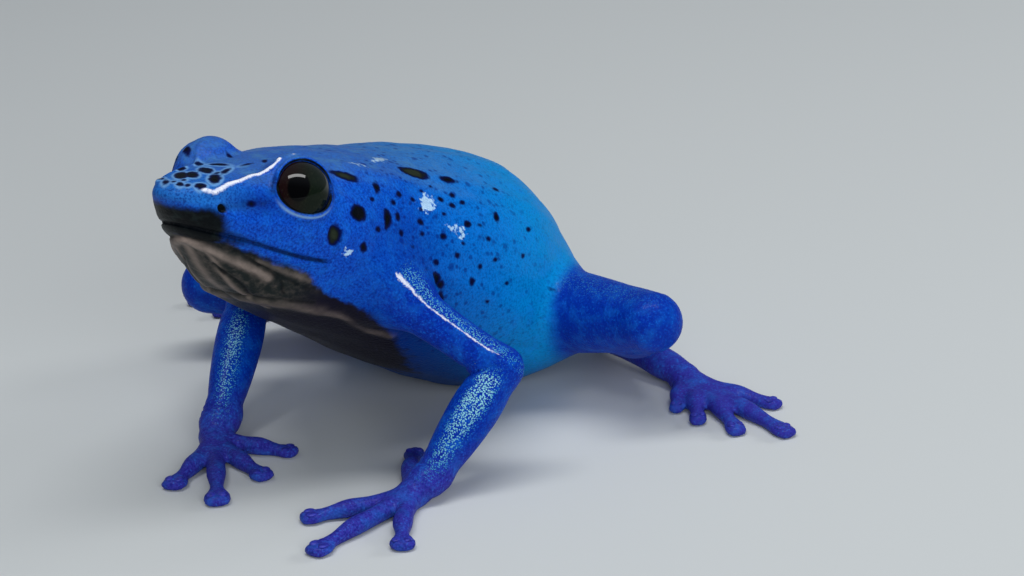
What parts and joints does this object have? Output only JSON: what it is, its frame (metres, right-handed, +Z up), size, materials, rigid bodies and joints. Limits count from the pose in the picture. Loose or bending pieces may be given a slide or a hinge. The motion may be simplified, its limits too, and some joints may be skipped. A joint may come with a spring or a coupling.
{
  "type": "blue poison dart frog, life-size model",
  "caption": "Still, life-size museum model of a spotted blue poison dart frog that sits with its head raised, on splayed hands, feet and belly.",
  "frame": {"origin": "on the floor, under the middle of the frog's outline", "axes": "+Z up, +X to the frog's left, -Y the way it looks"},
  "size_m": [0.059, 0.0431, 0.0256],
  "materials": {
    "skin": "moist, finely granular skin, azure on the back with black spots, violet-blue on the limbs",
    "eye": "wet, glossy, nearly black with a dark brown iris"
  },
  "bodies": {
    "root": {"head": "skin", "torso": "skin", "eye_left": "eye", "eye_right": "eye", "upper_arm_left": "skin", "forearm_left": "skin", "hand_left": "skin", "upper_arm_right": "skin", "forearm_right": "skin", "hand_right": "skin", "thigh_left": "skin", "shank_left": "skin", "foot_left": "skin", "thigh_right": "skin", "shank_right": "skin", "foot_right": "skin"}
  },
  "joints": []
}
